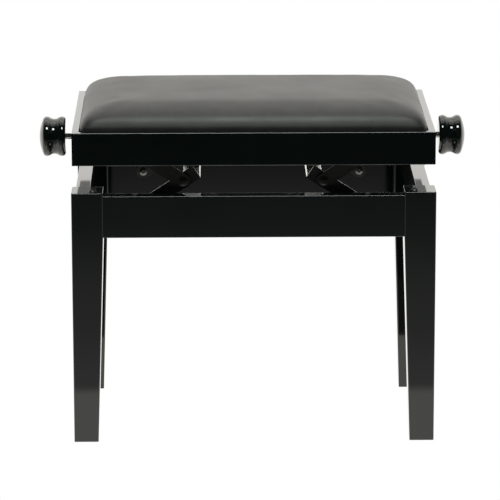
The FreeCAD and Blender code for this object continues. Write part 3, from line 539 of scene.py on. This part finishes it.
def thread_radius(x, turn, outer):
    """Radius of the rod at a place along it and a share of a turn round it."""
    if abs(x) < THREAD_GAP:
        return outer
    hand = 1 if x > 0 else -1
    phase = (x * hand / THREAD_LEAD - turn) % 1.0
    slope = abs(2 * phase - 1)
    depth = THREAD_DEPTH * min(1.0, max(0.0, THREAD_STEEPNESS * (THREAD_CREST - slope)))
    return outer - depth * min(1.0, (abs(x) - THREAD_GAP) / THREAD_LEAD)


def threaded_spindle():
    """The rod with its right-hand and left-hand threads, standing for the plain CAD rod."""
    low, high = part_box("spindle")
    centre, outer = (low + high) / 2, (high.z - low.z) / 2 - THREAD_INSET
    step = THREAD_LEAD / LEAD_STEPS
    count = round(THREAD_HALF / step)
    shoulder = THREAD_HALF + outer - JOURNAL
    stations = [(low.x, JOURNAL), (-shoulder, JOURNAL)]
    stations += [(number * step, None) for number in range(-count, count + 1)]
    stations += [(shoulder, JOURNAL), (high.x, JOURNAL)]
    points, faces = [], []
    for x, plain in stations:
        for number in range(TURN_STEPS):
            turn = number / TURN_STEPS
            radius = plain or thread_radius(x, turn, outer)
            points.append((x, centre.y + radius * math.cos(2 * math.pi * turn),
                           centre.z + radius * math.sin(2 * math.pi * turn)))
    for row in range(len(stations) - 1):
        for number in range(TURN_STEPS):
            a, b = row * TURN_STEPS + number, row * TURN_STEPS + (number + 1) % TURN_STEPS
            faces.append((a, b, b + TURN_STEPS, a + TURN_STEPS))
    faces.append(tuple(range(TURN_STEPS))[::-1])
    faces.append(tuple(range(len(points) - TURN_STEPS, len(points))))
    mesh = mesh_from("spindle_thread", points, faces)
    tidy(mesh)
    piece = new_object("spindle_thread", mesh, "spindle")
    finish_with(piece, "zinc_steel")
    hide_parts("spindle")


# ---------------------------------------------------------------- studio

PAPER_TINT = (1.0, 0.985, 0.945)
FLOOR_HALF = 40             # half the floor's side
FLOOR_STRENGTH = 1.35
FLOOR_FADE = 2.2            # distance in front of the bench over which the floor goes dark
# pairs of a distance in front of the bench and the floor's glow there
FLOOR_GLOW = ((0.0, 0.93), (0.26, 0.93), (0.32, 0.36), (0.75, 0.24), (1.6, 0.08), (1.95, 0.015))
WORLD_STRENGTH = 1.62
# pairs of a place between the front of the sky, 0, and its back, 1, and the glow there
WORLD_GLOW = ((0.0, 0.012), (0.42, 0.012), (0.52, 0.10), (0.70, 0.85), (1.0, 1.0))


def white_paper(tree, output_kind, light_kind, coordinates, edges, glow, strength):
    """Paper that looks plain white, and lights the bench by a glow that changes along Y."""
    tree.nodes.clear()
    output, mix = tree.nodes.new(output_kind), tree.nodes.new("ShaderNodeMixShader")
    rays, place = tree.nodes.new("ShaderNodeLightPath"), tree.nodes.new("ShaderNodeTexCoord")
    seen, felt = tree.nodes.new(light_kind), tree.nodes.new(light_kind)
    axes, reach = tree.nodes.new("ShaderNodeSeparateXYZ"), tree.nodes.new("ShaderNodeMapRange")
    tree.links.new(place.outputs[coordinates], axes.inputs["Vector"])
    tree.links.new(axes.outputs["Y"], reach.inputs["Value"])
    reach.inputs["From Min"].default_value, reach.inputs["From Max"].default_value = edges
    stops = [(position, [share * part for part in PAPER_TINT]) for position, share in glow]
    ramp = colour_ramp(tree, reach.outputs["Result"], stops)
    tree.links.new(ramp.outputs["Color"], felt.inputs["Color"])
    felt.inputs["Strength"].default_value = strength
    seen.inputs["Strength"].default_value = 1
    seen.inputs["Color"].default_value = (1, 1, 1, 1)
    tree.links.new(rays.outputs["Is Camera Ray"], mix.inputs["Fac"])
    tree.links.new(felt.outputs[0], mix.inputs[1])
    tree.links.new(seen.outputs[0], mix.inputs[2])
    tree.links.new(mix.outputs["Shader"], output.inputs["Surface"])
    return ramp


def floor():
    """A pale floor.  Its glow is full round the bench and fades towards the front of the studio."""
    corners = [(-1, -1), (1, -1), (1, 1), (-1, 1)]
    mesh = mesh_from("floor", [(x * FLOOR_HALF, y * FLOOR_HALF, 0) for x, y in corners], [(0, 1, 2, 3)],
                     smooth=False)
    piece = bpy.data.objects.new("floor", mesh)
    bpy.context.scene.collection.objects.link(piece)
    material = bpy.data.materials.new("studio_floor")
    material.use_nodes = True
    mesh.materials.append(material)
    front = CAD_BOX[0][1]
    glow = [(distance / FLOOR_FADE, share) for distance, share in FLOOR_GLOW]
    ramp = white_paper(material.node_tree, "ShaderNodeOutputMaterial", "ShaderNodeEmission", "Object",
                       (front, front - FLOOR_FADE), glow, FLOOR_STRENGTH)
    ramp.color_ramp.interpolation = "EASE"


def studio_world():
    """White paper behind and beside the bench, a dark room in front of it."""
    world = bpy.data.worlds.new("studio")
    bpy.context.scene.world = world
    world.use_nodes = True
    white_paper(world.node_tree, "ShaderNodeOutputWorld", "ShaderNodeBackground", "Generated",
                (-1, 1), WORLD_GLOW, WORLD_STRENGTH)


def area_light(name, place, target, size, watts, colour):
    """A rectangular lamp that faces its target."""
    data = bpy.data.lights.new(name, "AREA")
    data.shape = "RECTANGLE"
    data.size, data.size_y = size
    data.energy = watts
    data.color = colour
    lamp = bpy.data.objects.new(name, data)
    lamp.location = place
    lamp.rotation_euler = (Vector(target) - Vector(place)).to_track_quat("-Z", "Y").to_euler()
    bpy.context.scene.collection.objects.link(lamp)


OVERHEAD_PLACE = (0, 0.4, 2.6)
OVERHEAD_SIZE = (2.4, 1.6)
OVERHEAD_WATTS = 11
OVERHEAD_COLOUR = (1.0, 0.99, 0.96)
SOFTBOX_PLACE = (0, -1.06, 2.2)
SOFTBOX_SIZE = (1.0, 0.4)
SOFTBOX_WATTS = 32
SOFTBOX_COLOUR = (0.93, 1.0, 1.0)


def studio():
    """Floor, paper, a wide lamp overhead and a smaller cool one high in front."""
    floor()
    studio_world()
    top = Vector((0, 0, CAD_BOX[1][2]))
    area_light("overhead", OVERHEAD_PLACE, top, OVERHEAD_SIZE, OVERHEAD_WATTS, OVERHEAD_COLOUR)
    area_light("softbox", SOFTBOX_PLACE, top, SOFTBOX_SIZE, SOFTBOX_WATTS, SOFTBOX_COLOUR)


LENS = 243.6                # mm
SENSOR = 36                 # mm
FARTHEST = 100              # metres
EYE = (-0.0734, -5.1576, 1.5467)
EYE_DOWN = 13.955           # degrees below level
EYE_ROLL = 0.09             # degrees about the line from front to back
EYE_TURN = -0.796           # degrees about the vertical


def camera():
    """A long lens in front of the bench and a little above it."""
    data = bpy.data.cameras.new("camera")
    data.lens = LENS
    data.sensor_width = SENSOR
    data.clip_end = FARTHEST
    eye = bpy.data.objects.new("camera", data)
    eye.location = EYE
    eye.rotation_euler = [math.radians(angle) for angle in (90 - EYE_DOWN, EYE_ROLL, EYE_TURN)]
    bpy.context.scene.collection.objects.link(eye)
    bpy.context.scene.camera = eye


# ---------------------------------------------------------------- the scene

paint_frame()
seat_cushion()
threaded_spindle()
studio()
camera()
bpy.context.scene.view_settings.view_transform = "Standard"
